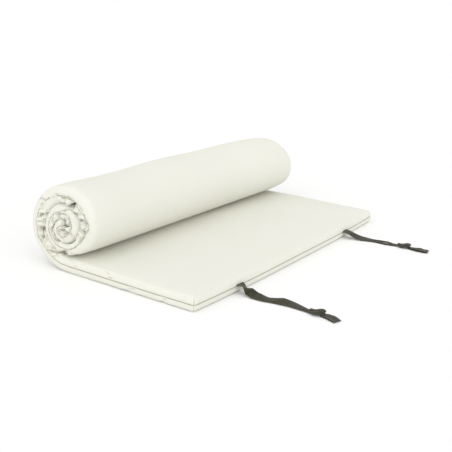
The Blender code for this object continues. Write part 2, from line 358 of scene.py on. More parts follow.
@dataclass
class RollLine:
    """The line of the mattress's underside, from its free end to the inner end of the roll.

    It is read from the frame's rolled sections, and runs smoothly through their middles.
    """

    bends_per_half_turn: tuple[int, ...] = (5, 5, 4, 4, 4)
    steps: int = 24
    flat_lead: float = 0.055
    free_end: float = field(init=False)
    places: np.ndarray = field(init=False)
    inward: np.ndarray = field(init=False)
    travelled: np.ndarray = field(init=False)
    pressed: np.ndarray = field(init=False)
    cuts: list[float] = field(init=False)

    def __post_init__(self) -> None:
        """Lay the line through the frame's sections."""
        low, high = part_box("cover_top_panel")
        self.free_end = high.x
        thickness = high.z
        first_hinge = Vector(frame["joints"][0]["pos_m"])
        knots = [(np.array([self.free_end, 0.0]), 0.0, thickness),
                 (np.array([first_hinge.x + self.flat_lead, 0.0]), 0.0, thickness)]
        turned = 0.0
        number = 0
        for bends in self.bends_per_half_turn:
            for _ in range(bends):
                turned += math.pi / bends
                number += 1
                tip, thick, long = self.outer_side(f"cover_roll_{number:02d}", turned)
                knots.append((tip, turned, thick))
        heading = np.array([-math.cos(turned), math.sin(turned)])
        knots.append((tip + heading * (0.5 * long), turned, thick))
        self.lay(knots)

    @staticmethod
    def outer_side(node: str, turned: float) -> tuple[np.ndarray, float, float]:
        """Return the middle of a section's outer side, its thickness and its length."""
        mesh = frame["nodes"][node].data
        points = np.array([v.co for v in mesh.vertices])[:, [0, 2]]
        ahead = np.array([-math.cos(turned), math.sin(turned)])
        inward = np.array([math.sin(turned), math.cos(turned)])
        along, deep = points @ ahead, points @ inward
        outer = along[deep < deep.min() + 0.0005]
        place = 0.5 * (outer.min() + outer.max()) * ahead + deep.min() * inward
        return place, float(deep.max() - deep.min()), float(outer.max() - outer.min())

    def lay(self, knots: list[tuple[np.ndarray, float, float]]) -> None:
        """Run a smooth line through the knots and note the places where it is parted."""
        places, pressed = [], []
        for (a, turn_a, thick_a), (b, turn_b, thick_b) in zip(knots, knots[1:]):
            pull = np.linalg.norm(b - a) / math.cos(0.25 * (turn_b - turn_a)) ** 2
            start = np.array([-math.cos(turn_a), math.sin(turn_a)]) * pull
            stop = np.array([-math.cos(turn_b), math.sin(turn_b)]) * pull
            for step in range(self.steps):
                t = step / self.steps
                places.append((2 * t ** 3 - 3 * t ** 2 + 1) * a + (t ** 3 - 2 * t ** 2 + t) * start
                              + (3 * t ** 2 - 2 * t ** 3) * b + (t ** 3 - t ** 2) * stop)
                pressed.append(thick_a + (thick_b - thick_a) * t * t * (3.0 - 2.0 * t))
        places.append(knots[-1][0])
        pressed.append(knots[-1][2])
        self.places = np.array(places)
        heading = np.gradient(self.places, axis=0)
        heading /= np.linalg.norm(heading, axis=1)[:, None]
        self.inward = np.stack([heading[:, 1], -heading[:, 0]], axis=1)
        lengths = np.linalg.norm(np.diff(self.places, axis=0), axis=1)
        self.travelled = np.concatenate([[0.0], np.cumsum(lengths)])
        self.pressed = np.array(pressed)
        self.cuts = [float(self.travelled[self.steps * index])
                     for index in range(1, len(frame_hinges()) + 2)]

    @property
    def length(self) -> float:
        """Return the whole length of the line."""
        return float(self.travelled[-1])

    def at(self, along: np.ndarray) -> tuple[np.ndarray, np.ndarray]:
        """Return places on the line and the directions inwards from them."""
        place = np.stack([np.interp(along, self.travelled, self.places[:, k]) for k in (0, 1)], 1)
        inward = np.stack([np.interp(along, self.travelled, self.inward[:, k]) for k in (0, 1)], 1)
        inward /= np.linalg.norm(inward, axis=1)[:, None]
        return place, inward

    def thickness(self, along: np.ndarray) -> np.ndarray:
        """Return the thickness to which the pad is pressed."""
        return np.interp(along, self.travelled, self.pressed)


@dataclass
class Room:
    """The empty room between the roll's turns, which the soft wraps swell into."""

    line: RollLine
    swell_in: float = 0.30
    swell_out: float = 0.62
    widest: float = 0.046
    near: float = 0.004
    next_turn: float = 0.12
    second_turn: Span = (1.50, 1.60)
    grid: np.ndarray = field(init=False)
    inside: np.ndarray = field(init=False)
    outside: np.ndarray = field(init=False)

    def __post_init__(self) -> None:
        """Measure the room on both sides of each turn."""
        line = self.line
        fine = np.arange(0.0, line.length, 0.002)
        outer, facing = line.at(fine)
        inner = outer + facing * line.thickness(fine)[:, None]
        self.grid = np.arange(line.cuts[0], line.length, 0.008)
        place, inward = line.at(self.grid)
        thick = line.thickness(self.grid)
        self.inside, self.outside = np.zeros(len(self.grid)), np.zeros(len(self.grid))
        for index, (here, point, way) in enumerate(zip(self.grid, place, inward)):
            across = np.array([-way[1], way[0]])
            ahead, behind = (outer - point) @ way, (point - inner) @ way
            hit = (fine > here + self.next_turn) & (ahead > 0.0) & (
                np.abs((outer - point) @ across) < self.near)
            if hit.any():
                self.inside[index] = ahead[hit].min() - thick[index]
            hit = (fine < here - self.next_turn) & (behind > -0.01) & (
                np.abs((inner - point) @ across) < self.near)
            if hit.any():
                self.outside[index] = behind[hit].min()
        self.inside[self.inside > self.widest] = 0.0
        self.outside *= smooth_step(self.grid, *self.second_turn)
        for room in (self.inside, self.outside):
            room[:] = np.convolve(np.clip(room, 0.0, self.widest), np.ones(9) / 9.0, "same")

    def swell(self, along: np.ndarray) -> tuple[np.ndarray, np.ndarray]:
        """Return how far the wrap swells inwards and outwards at each place."""
        return (self.swell_in * np.interp(along, self.grid, self.inside),
                self.swell_out * np.interp(along, self.grid, self.outside))


def frame_hinges() -> list[dict[str, Any]]:
    """Return the joints about which the roll opens, from the flat stretch inwards."""
    return [joint for joint in frame["joints"] if joint["name"].startswith("unroll")]


# ---------------------------------------------------------------- the mattress

@dataclass(frozen=True)
class Filling:
    """How the wadding fills the pad, in metres or in shares of the thickness."""

    edge_round: float = 0.017
    roll_edge_round: float = 0.030
    boxiness: float = 3.0
    bow: float = 0.014
    bow_reach: float = 0.40
    lead: float = 0.05
    edge_band: float = 0.13
    edge_thinned: float = 0.15
    edge_drawn_in: float = 0.0055
    first_turn: float = 0.14
    second_turn: float = 0.12
    core_turn: float = 0.30
    seam_waver: float = 0.5
    roll_swell: float = 0.0150
    flat_swell: float = 0.0042
    flat_ripple: float = 0.0022
    slip: float = 0.012
    slip_back: float = 0.003
    seam_depth: float = 0.0022
    seam_width: float = 0.0022
    dart_from: float = 0.55
    dart_depth: float = 0.7


@dataclass(frozen=True)
class Puckers:
    """The short folds along the seam: how often they come, and the spans of their sizes."""

    seed: int = 11
    first: float = 0.05
    last: float = 0.03
    inner_in_roll: float = 0.78
    inner_in_flat: float = 0.5
    big: float = 0.7
    big_width: Span = (0.0100, 0.0190)
    small_width: Span = (0.0065, 0.0090)
    big_depth: Span = (0.0160, 0.0300)
    small_depth: Span = (0.0060, 0.0100)
    outer_depth: float = 0.55
    flat_depth: float = 0.12
    slant: Span = (-1.3, 1.3)
    reach: Span = (0.040, 0.090)
    bunched: float = 0.4
    flat_gap: Span = (0.06, 0.15)
    bunched_gap: Span = (0.018, 0.032)
    gap: Span = (0.050, 0.115)
    near_along: float = 0.08
    near_across: float = 0.11
    clear_of_seam: float = 0.008
    ridge_at: float = 1.9
    ridge_width: float = 0.9
    ridge_height: float = 0.38


@dataclass(frozen=True)
class Settling:
    """The cloth simulation: its settings, and the limits of what it may move."""

    spare_cloth: float = 0.32
    frames: int = 16
    cap: float = 0.014
    cap_out: float = 0.0045
    weight_steps: int = 40
    loose_from: Span = (0.21, 0.05)
    flat_looseness: float = 0.12

    def settings(self) -> dict[str, Any]:
        """Return the cloth modifier's settings."""
        return {"quality": 5, "mass": 0.25, "tension_stiffness": 20.0,
                "compression_stiffness": 20.0, "shear_stiffness": 8.0,
                "bending_stiffness": 2.5, "use_pressure": True,
                "uniform_pressure_force": 3.0, "vertex_group_mass": "hold",
                "pin_stiffness": 1.0, "vertex_group_shrink": "spare", "shrink_min": 0.0,
                "shrink_max": -self.spare_cloth}


@dataclass
class Mattress:
    """The mattress's skin: a boxed pad with one seam round its edge at mid height."""

    line: RollLine
    filling: Filling = Filling()
    puckers: Puckers = Puckers()
    settling: Settling = Settling()
    row_step: float = 0.0066
    flat_row_step: float = 0.0120
    band: float = 0.115
    band_step: float = 0.0068
    trim: float = 0.027
    trim_step: float = 0.0038
    middle_step: float = 0.032
    side_heights: tuple[float, ...] = (-1.0, -0.74, -0.50, -0.28, -0.12, -0.045, 0.0,
                                       0.045, 0.12, 0.28, 0.50, 0.74, 1.0)
    sharp_fold: float = 34.0
    shallow_fold: float = 0.12
    room: Room = field(init=False)
    half_width: float = field(init=False)
    skin: bpy.types.Object = field(init=False)
    rows: np.ndarray = field(init=False)
    columns: np.ndarray = field(init=False)
    flat_place: np.ndarray = field(init=False)

    def __post_init__(self) -> None:
        """Measure the width from the frame and share out the rows and columns."""
        low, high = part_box("cover_top_panel")
        self.half_width = 0.5 * (high.y - low.y)
        self.room = Room(self.line)
        stops = [0.0, *self.line.cuts, self.line.length]
        trim = self.trim
        trim_rows = round(trim / self.trim_step)
        rows = list(np.linspace(0.0, trim, trim_rows + 1))
        stops[0] = trim
        for index, (start, stop) in enumerate(zip(stops, stops[1:])):
            step = self.flat_row_step if index == 0 else self.row_step
            count = max(2, round((stop - start) / step))
            rows += list(np.linspace(start, stop, count + 1)[1:])
        self.rows = np.array(rows)
        inner = self.half_width - self.band
        rim = self.half_width - trim
        fine = np.concatenate([
            np.linspace(inner, rim, round((self.band - trim) / self.band_step) + 1)[:-1],
            np.linspace(rim, self.half_width, trim_rows + 1)])
        coarse = np.linspace(-inner, inner, round(2.0 * inner / self.middle_step) + 1)
        self.columns = np.concatenate([-fine[::-1], coarse[1:-1], fine])

    def build(self) -> list[bpy.types.Object]:
        """Build the skin, settle it and part it.

        Returns:
            The flat stretch, the pieces between it and the core, and the core of the roll.
        """
        self.cut_blank()
        self.roll_up()
        self.pucker()
        self.settle()
        self.note_folds()
        return self.part()

    def cut_blank(self) -> None:
        """Make the flat blank, a box with as many faces as the rows and columns ask for."""
        bm = bmesh.new()
        row_count, column_count = len(self.rows) - 1, len(self.columns) - 1
        bmesh.ops.create_grid(bm, x_segments=row_count, y_segments=column_count, size=1.0)
        bmesh.ops.translate(bm, vec=(0.0, 0.0, -1.0), verts=bm.verts)
        raised = bmesh.ops.extrude_face_region(bm, geom=bm.faces[:], use_keep_orig=True)
        top = [item for item in raised["geom"] if isinstance(item, bmesh.types.BMVert)]
        bmesh.ops.translate(bm, vec=(0.0, 0.0, 2.0), verts=top)
        posts = [e for e in bm.edges if abs(e.verts[0].co.z - e.verts[1].co.z) > 1.0]
        bmesh.ops.subdivide_edges(bm, edges=posts, cuts=len(self.side_heights) - 2,
                                  use_grid_fill=True)
        bmesh.ops.recalc_face_normals(bm, faces=bm.faces)
        # The rows run from the free end backwards, which turns the faces over once more.
        bmesh.ops.reverse_faces(bm, faces=bm.faces)
        self.skin = link_mesh("mattress_skin", bm)
        flat = self.read(self.skin.data)
        row = np.rint((flat[:, 0] + 1.0) * 0.5 * row_count).astype(int)
        column = np.rint((flat[:, 1] + 1.0) * 0.5 * column_count).astype(int)
        level_count = len(self.side_heights) - 1
        level = np.rint((flat[:, 2] + 1.0) * 0.5 * level_count).astype(int)
        self.row_of = row
        self.flat_place = np.stack([self.rows[row], self.columns[column],
                                    np.array(self.side_heights)[level]], axis=1)

    @staticmethod
    def read(mesh: bpy.types.Mesh) -> np.ndarray:
        """Return a mesh's points as an array."""
        points = np.empty(len(mesh.vertices) * 3)
        mesh.vertices.foreach_get("co", points)
        return points.reshape(-1, 3)

    @staticmethod
    def write(mesh: bpy.types.Mesh, points: np.ndarray) -> None:
        """Put an array's points into a mesh."""
        mesh.vertices.foreach_set("co", np.asarray(points, np.float32).ravel())
        mesh.update()

    @classmethod
    def set_down(cls, mesh: bpy.types.Mesh, points: np.ndarray) -> None:
        """Put an array's points into a mesh, none of them under the floor."""
        points[:, 2] = np.maximum(points[:, 2], 0.0)
        cls.write(mesh, points)

    @staticmethod
    def outward(mesh: bpy.types.Mesh) -> np.ndarray:
        """Return the direction outwards at each point of a mesh."""
        normals = np.empty(len(mesh.vertices) * 3)
        mesh.vertex_normals.foreach_get("vector", normals)
        return normals.reshape(-1, 3)

    def roll_up(self) -> None:
        """Round the blank's edges, press it to its thickness and bend it along the roll."""
        along, across, level = self.flat_place.T
        fill, cuts = self.filling, self.line.cuts
        length, half, radius = self.line.length, self.half_width, fill.edge_round
        rolled = smooth_step(along, cuts[0] - fill.lead, cuts[1] + fill.lead)
        side_round = radius + (fill.roll_edge_round - radius) * rolled
        core_along = np.clip(along, radius, length - radius)
        core_across = np.clip(across, side_round - half, half - side_round)
        over_along = (along - core_along) / radius
        over_across = (across - core_across) / side_round
        power = fill.boxiness
        reach = (np.abs(over_along) ** power + np.abs(over_across) ** power
                 + np.abs(level) ** power) ** (1.0 / power)
        along_now = core_along + over_along / reach * radius
        across_now = core_across + over_across / reach * side_round
        level_now = level / reach
        to_side = half - np.abs(across_now)
        to_end = np.minimum(along_now, length - along_now)
        edge = np.clip(1.0 - np.minimum(to_side, to_end) / fill.edge_band, 0.0, 1.0) ** 2
        place, inward = self.line.at(along_now)
        room_in, room_out = self.room.swell(along_now)
        first_turn = smooth_step(along_now, cuts[0], cuts[1])
        first_turn *= 1.0 - smooth_step(along_now, cuts[8], cuts[8] + 0.12)
        second_turn = smooth_step(along_now, cuts[8] + 0.10, cuts[8] + 0.22)
        core_turn = smooth_step(along_now, length - 0.34, length - 0.10)
        thick = self.line.thickness(along_now)
        thick *= 1.0 - fill.edge_thinned * edge * (1.0 - rolled)
        thick *= (1.0 + fill.first_turn * first_turn + fill.second_turn * second_turn
                  + fill.core_turn * core_turn)
        thick += room_in + room_out
        waver = noise_at(along_now * 11.0, 3.0 * np.sign(across), 8.1)
        level_now += fill.seam_waver * waver * rolled * (1.0 - level_now ** 2) * (
            1.0 - smooth_step(to_side, 0.0, 0.03))
        height = 0.5 * thick * (1.0 + level_now)
        height += fill.edge_drawn_in * edge * rolled * np.clip(1.0 - level_now, 0.0, 1.0) * (
            1.0 - smooth_step(to_side, 0.10, fill.edge_band))
        on_top = (1.0 - smooth_step(along_now, cuts[0] - fill.lead, cuts[1])) * (
            0.5 + 0.5 * level_now)
        height += fill.flat_ripple * noise_at(along_now * 9.0, across_now * 4.0, 2.2) * on_top
        height += noise_at(along_now * 2.3, across_now * 2.6, 4.7) * (
            fill.roll_swell * first_turn + fill.flat_swell * on_top)
        centred = place + inward * (height - room_out)[:, None]
        slip = noise_at(along_now * 3.1, 9.4 + np.sign(across_now), 0.0) * fill.slip
        turned_in = smooth_step(along_now, cuts[1], cuts[3])
        across_now = across_now + np.sign(across_now) * (slip - fill.slip_back) * turned_in * (
            smooth_step(np.abs(across_now), 0.2, half))
        bowed = fill.bow * (1.0 - np.abs(across_now / half) ** 3) * (
            1.0 - smooth_step(along_now, 0.0, fill.bow_reach))
        points = np.stack([centred[:, 0] + bowed, across_now, centred[:, 1]], axis=1)
        on_wall = (np.abs(across) > half - ON_LINE) | (along < ON_LINE) | (
            along > length - ON_LINE)
        self.to_side, self.thick = to_side, thick
        self.seam_distance = np.where(on_wall, np.abs(level_now) * 0.5 * thick,
                                      0.5 * thick + np.minimum(to_side, to_end))
        self.write(self.skin.data, points)
        groove = np.where(on_wall, np.exp(-(self.seam_distance / fill.seam_width) ** 2), 0.0)
        lean = np.abs(np.abs(over_along) - np.abs(over_across)) * radius
        at_corner = (np.abs(over_along) > fill.dart_from) & (
            np.abs(over_across) > fill.dart_from)
        self.dart = np.where(at_corner, np.exp(-(lean / fill.seam_width) ** 2), 0.0)
        groove = np.maximum(groove, fill.dart_depth * self.dart)
        points -= self.outward(self.skin.data) * (groove * fill.seam_depth)[:, None]
        self.set_down(self.skin.data, points)

    def pucker(self) -> None:
        """Gather the cloth along the seam, with short folds where the roll is pressed."""
        facts = self.puckers
        rng = np.random.default_rng(facts.seed)
        mesh = self.skin.data
        along, across, level = self.flat_place.T
        from_seam = self.seam_distance
        dent = np.zeros(len(along))
        for side in (-1.0, 1.0):
            place = facts.first
            while place < self.line.length - facts.last:
                rolled = place > self.line.cuts[0]
                inner = facts.inner_in_roll if rolled else facts.inner_in_flat
                upper = 1.0 if rng.random() < inner else -1.0
                big = rng.random() < facts.big
                width = rng.uniform(*(facts.big_width if big else facts.small_width))
                depth = rng.uniform(*(facts.big_depth if big else facts.small_depth))
                if not rolled:
                    depth *= facts.flat_depth
                elif upper < 0.0:
                    depth *= facts.outer_depth
                slant = rng.uniform(*facts.slant)
                reach = rng.uniform(*facts.reach)
                near = (np.abs(along - place) < facts.near_along) & (across * side > 0) & (
                    level * upper >= 0.0) & (self.to_side < facts.near_across)
                offset = (along[near] - place - slant * from_seam[near]) / width
                fade = np.exp(-(from_seam[near] / reach) ** 2) * smooth_step(
                    from_seam[near], 0.0, facts.clear_of_seam)
                shape = np.exp(-offset ** 2) * fade
                ridge = np.exp(-((np.abs(offset) - facts.ridge_at) / facts.ridge_width) ** 2)
                dent[near] += depth * (shape - facts.ridge_height * (ridge * fade))
                gap = facts.bunched_gap if rng.random() < facts.bunched else facts.gap
                place += rng.uniform(*(gap if rolled else facts.flat_gap))
        self.set_down(mesh, self.read(mesh) - self.outward(mesh) * dent[:, None])

    def shares(self) -> tuple[np.ndarray, np.ndarray]:
        """Return how firmly each point is held, and how much spare cloth there is at it."""
        along, across, level = self.flat_place.T
        far, near = self.settling.loose_from
        firm = self.settling.flat_looseness
        rolled = smooth_step(along, self.line.cuts[0] - 0.02, self.line.cuts[1])
        loose = smooth_step(np.abs(across), self.half_width - far, self.half_width - near)
        hold = 1.0 - loose * (firm + (1.0 - firm) * rolled)
        hold = np.maximum(hold, 0.75 * np.exp(-(self.seam_distance / 0.004) ** 2))
        under = (level < 0.0) & (along < self.line.cuts[1]) & (self.to_side > 0.02)
        hold[under] = 1.0
        taut = rolled * smooth_step(-level, 0.1, 0.9) * smooth_step(self.to_side, -0.01, 0.050)
        patch = noise_at(along * 7.0, across * 7.0, 1.7)
        inner = 0.60 + 0.40 * np.clip(level, -1.0, 1.0)
        spare = loose * (firm + (1.0 - firm) * rolled * inner) * (
            np.clip(0.8 + 1.3 * patch, 0.0, 1.0))
        return np.clip(np.maximum(hold, taut), 0.0, 1.0), np.clip(spare * (1.0 - taut), 0.0, 1.0)

    def settle(self) -> None:
        """Let the cloth bulge and wrinkle under the wadding's pressure, within a small cap."""
        mesh, facts = self.skin.data, self.settling
        start, outward = self.read(mesh).copy(), self.outward(mesh).copy()
        for name, weights in zip(("hold", "spare"), self.shares()):
            group = self.skin.vertex_groups.new(name=name)
            steps = np.rint(weights * facts.weight_steps).astype(int)
            for step in range(1, facts.weight_steps + 1):
                members = np.flatnonzero(steps == step)
                if len(members):
                    group.add(members.tolist(), step / facts.weight_steps, "REPLACE")
        cloth = self.skin.modifiers.new("cloth", "CLOTH")
        for key, setting in facts.settings().items():
            setattr(cloth.settings, key, setting)
        cloth.settings.effector_weights.gravity = 0.0
        cloth.collision_settings.use_collision = False
        cloth.collision_settings.use_self_collision = False
        cloth.point_cache.frame_start = 1
        cloth.point_cache.frame_end = facts.frames
        scene = bpy.context.scene
        for number in range(1, facts.frames + 1):
            scene.frame_set(number)
        seen = self.skin.evaluated_get(bpy.context.evaluated_depsgraph_get())
        moved = self.read(seen.data) - start
        self.skin.modifiers.remove(cloth)
        self.skin.vertex_groups.clear()
        scene.frame_set(1)
        out = (moved * outward).sum(axis=1)
        moved -= outward * np.maximum(out - facts.cap_out, 0.0)[:, None]
        far = np.linalg.norm(moved, axis=1)
        moved *= np.minimum(1.0, facts.cap / np.maximum(far, 1e-9))[:, None]
        self.set_down(mesh, start + moved)
        LOG.info("cloth settled: it moved %.1f mm at most", 1000.0 * far.max())

    def note_folds(self) -> None:
        """Work out how deep in a fold each point is, from how hollow the cloth is there; this sets
        the painted shade in its colour.
        """
        mesh = self.skin.data
        points, outward = self.read(mesh), self.outward(mesh)
        ends = np.empty(len(mesh.edges) * 2, int)
        mesh.edges.foreach_get("vertices", ends)
        first, second = ends.reshape(-1, 2).T
        gap = points[second] - points[first]
        far = np.linalg.norm(gap, axis=1) + 1e-9
        hollow, count = np.zeros(len(points)), np.zeros(len(points))
        for here, sign in ((first, 1.0), (second, -1.0)):
            rise = sign * (gap * outward[here]).sum(axis=1) / far ** 2
            np.add.at(hollow, here, rise)
            np.add.at(count, here, 1.0)
        # How much painted shade each point gets: more where the cloth is hollow, and along the
        # corner darts.
        fold_shade = hollow / np.maximum(count, 1.0) / self.sharp_fold - self.shallow_fold
        self.fold_shade = np.clip(np.maximum(fold_shade, 0.5 * self.dart), 0.0, 1.0)

    def note_cloth(self) -> None:
        """Keep the cloth's own map, the painted shade of its folds and its seam on the skin."""
        mesh = self.skin.data
        along, across, level = self.flat_place.T
        half, length = self.half_width, self.line.length
        wall_height = (1.0 - np.abs(level)) * 0.5 * self.thick
        at_side = np.abs(across) > half - ON_LINE
        at_end = (along < ON_LINE) | (along > length - ON_LINE)
        map_along = along + np.where(at_end, np.sign(along - 0.5 * length) * wall_height, 0.0)
        map_across = across + np.where(at_side, np.sign(across) * wall_height, 0.0)
        layer = mesh.uv_layers.new(name=CLOTH_MAP)
        corner = np.empty(len(mesh.loops), int)
        mesh.loops.foreach_get("vertex_index", corner)
        layer.data.foreach_set("uv", np.stack([map_along[corner], map_across[corner]],
                                              1).astype(np.float32).ravel())
        run = along - (half - np.abs(across))
        for name, numbers in (("fold_shade", self.fold_shade), ("seam_distance", self.seam_distance),
                              ("seam_run", run), ("row", self.row_of)):
            keep_number(mesh, name, numbers)

    def make_finer(self) -> None:
        """Subdivide the skin once, with its notes and its map, and keep its directions."""
        finer = self.skin.modifiers.new("finer", "SUBSURF")
        finer.levels = finer.render_levels = 1
        graph = bpy.context.evaluated_depsgraph_get()
        mesh = bpy.data.meshes.new_from_object(
            self.skin.evaluated_get(graph), preserve_all_data_layers=True, depsgraph=graph)
        self.skin.modifiers.clear()
        self.skin.data = mesh
        rows = np.empty(len(mesh.vertices), np.float32)
        mesh.attributes["row"].data.foreach_get("value", rows)
        self.row_of = np.rint(2.0 * rows) / 2.0
        mesh.attributes.remove(mesh.attributes["row"])
        kept = mesh.attributes.new("whole_outward", "FLOAT_VECTOR", "POINT")
        kept.data.foreach_set("vector", self.outward(mesh).astype(np.float32).ravel())

    def part(self) -> list[bpy.types.Object]:
        """Part the skin at the middles of the hinged sections, and close each piece.

        Returns:
            The pieces from the free end inwards.
        """
        self.skin.data.shade_smooth()
        self.note_cloth()
        self.make_finer()
        self.skin.data.materials.append(CottonSheeting().material())
        limits = [int(np.argmin(np.abs(self.rows - cut))) for cut in self.line.cuts]
        limits = [0, *limits, len(self.rows) - 1]
        names = ["mattress_flat", *[f"mattress_bend_{number}" for number in
                                    range(1, len(limits) - 2)], "mattress_core"]
        pieces = [self.take(name, start, stop)
                  for name, start, stop in zip(names, limits, limits[1:])]
        bpy.data.objects.remove(self.skin, do_unlink=True)
        return pieces

    def take(self, name: str, start: int, stop: int) -> bpy.types.Object:
        """Take one piece out of the skin, between two rows, and close its ends.

        Args:
            name: The piece's name.
            start: The first row.
            stop: The last row.

        Returns:
            The piece.
        """
        bm = bmesh.new()
        bm.from_mesh(self.skin.data)
        bm.verts.ensure_lookup_table()
        gone = [face for face in bm.faces
                if not start <= min(self.row_of[v.index] for v in face.verts)
                <= max(self.row_of[v.index] for v in face.verts) <= stop]
        bmesh.ops.delete(bm, geom=gone, context="FACES")
        open_edges = [edge for edge in bm.edges if edge.is_boundary]
        closed = bmesh.ops.holes_fill(bm, edges=open_edges, sides=0)["faces"]
        for face in closed:
            face.smooth = False
            for edge in face.edges:
                edge.smooth = False
        caps = len(closed)
        piece = link_mesh(name, bm)
        mesh = piece.data
        kept = np.empty(len(mesh.vertices) * 3, np.float32)
        mesh.attributes["whole_outward"].data.foreach_get("vector", kept)
        corner = np.empty(len(mesh.loops), int)
        mesh.loops.foreach_get("vertex_index", corner)
        wanted = kept.reshape(-1, 3)[corner]
        for polygon in list(mesh.polygons)[len(mesh.polygons) - caps:]:
            for loop in polygon.loop_indices:
                wanted[loop] = polygon.normal
        mesh.normals_split_custom_set([tuple(v) for v in wanted.tolist()])
        mesh.attributes.remove(mesh.attributes["whole_outward"])
        mesh.materials.append(self.skin.data.materials[0])
        return piece

    def dress(self, pieces: Sequence[bpy.types.Object]) -> None:
        """Join the flat stretch and the core to the frame's bodies, and hide the frame's parts that
        the pieces stand in for.

        Args:
            pieces: The flat stretch, the pieces between it and the core, and the core.
        """
        hinges = frame_hinges()
        flat, *bends, core = pieces
        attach(flat, "root")
        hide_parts("cover_top_panel", "cover_bottom_panel", "wadding_flat_1",
                    "wadding_flat_2", "wadding_flat_3")
        for number, (piece, hinge) in enumerate(zip(bends, hinges), start=1):
            start, stop = self.bend_span(number)
            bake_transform(piece)
            if number < len(hinges):
                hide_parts(f"cover_roll_{number:02d}", f"wadding_roll_{number:02d}")
        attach(core, hinges[-1]["child"])
        sections = sum(self.line.bends_per_half_turn)
        inner = range(len(hinges), sections + 1)
        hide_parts(*[f"cover_roll_{n:02d}" for n in inner],
                    *[f"wadding_roll_{n:02d}" for n in inner])
        for piece in pieces:
            LOG.info("%s: %d faces", piece.name, len(piece.data.polygons))

    def bend_span(self, number: int) -> tuple[tuple[float, ...], tuple[float, ...]]:
        """Return two points on the chord between a middle piece's two cuts.

        Both lie inside the piece's end planes.

        Args:
            number: The hinge's number, from 1.

        Returns:
            The two points, in the frame's metres.
        """
        span = np.array(self.line.cuts[number - 1:number + 1])
        place, inward = self.line.at(span)
        thick = self.line.thickness(span) * 1.15 + self.room.swell(span)[0]
        corners = [place[k] + inward[k] * depth for k in (0, 1) for depth in (-0.004, thick[k])]
        chord = place[1] - place[0]
        chord /= np.linalg.norm(chord)
        along = [float((corner - place[0]) @ chord) for corner in corners]
        start = place[0] + chord * (max(along[:2]) + 0.001)
        stop = place[0] + chord * (min(along[2:]) - 0.001)
        return (start[0], 0.0, start[1]), (stop[0], 0.0, stop[1])


# ---------------------------------------------------------------- the ties

def smooth_route(points: Sequence[Vector], steps: int = 5) -> list[Vector]:
    """Return a smooth curve through the points, as a closely spaced list."""
    ends = [points[0] * 2.0 - points[1], *points, points[-1] * 2.0 - points[-2]]
    route = []
    for a, b, c, d in zip(ends, ends[1:], ends[2:], ends[3:]):
        for step in range(steps):
            t = step / steps
            route.append(0.5 * (2.0 * b + (c - a) * t
                                + (2.0 * a - 5.0 * b + 4.0 * c - d) * t ** 2
                                + (3.0 * b - a - 3.0 * c + d) * t ** 3))
    route.append(points[-1].copy())
    return route


def evenly(route: Sequence[Vector], step: float) -> list[Vector]:
    """Return points an even step apart along a route, its two ends among them."""
    lengths = np.cumsum([0.0, *[(b - a).length for a, b in zip(route, route[1:])]])
    wanted = np.linspace(0.0, lengths[-1], max(2, round(lengths[-1] / step)) + 1)
    sides = [np.interp(wanted, lengths, [p[k] for p in route]) for k in range(3)]
    return [Vector(p) for p in zip(*sides)]


def length_of(route: Sequence[Vector]) -> float:
    """Return the length of a route."""
    return sum((b - a).length for a, b in zip(route, route[1:]))


@dataclass(frozen=True)
class Lie:
    """How the tape lies at one place along its route."""

    share: float
    tilt: float = 0.0
    width: float = 1.0
    apart: float = 0.0
    spread: float = 0.0


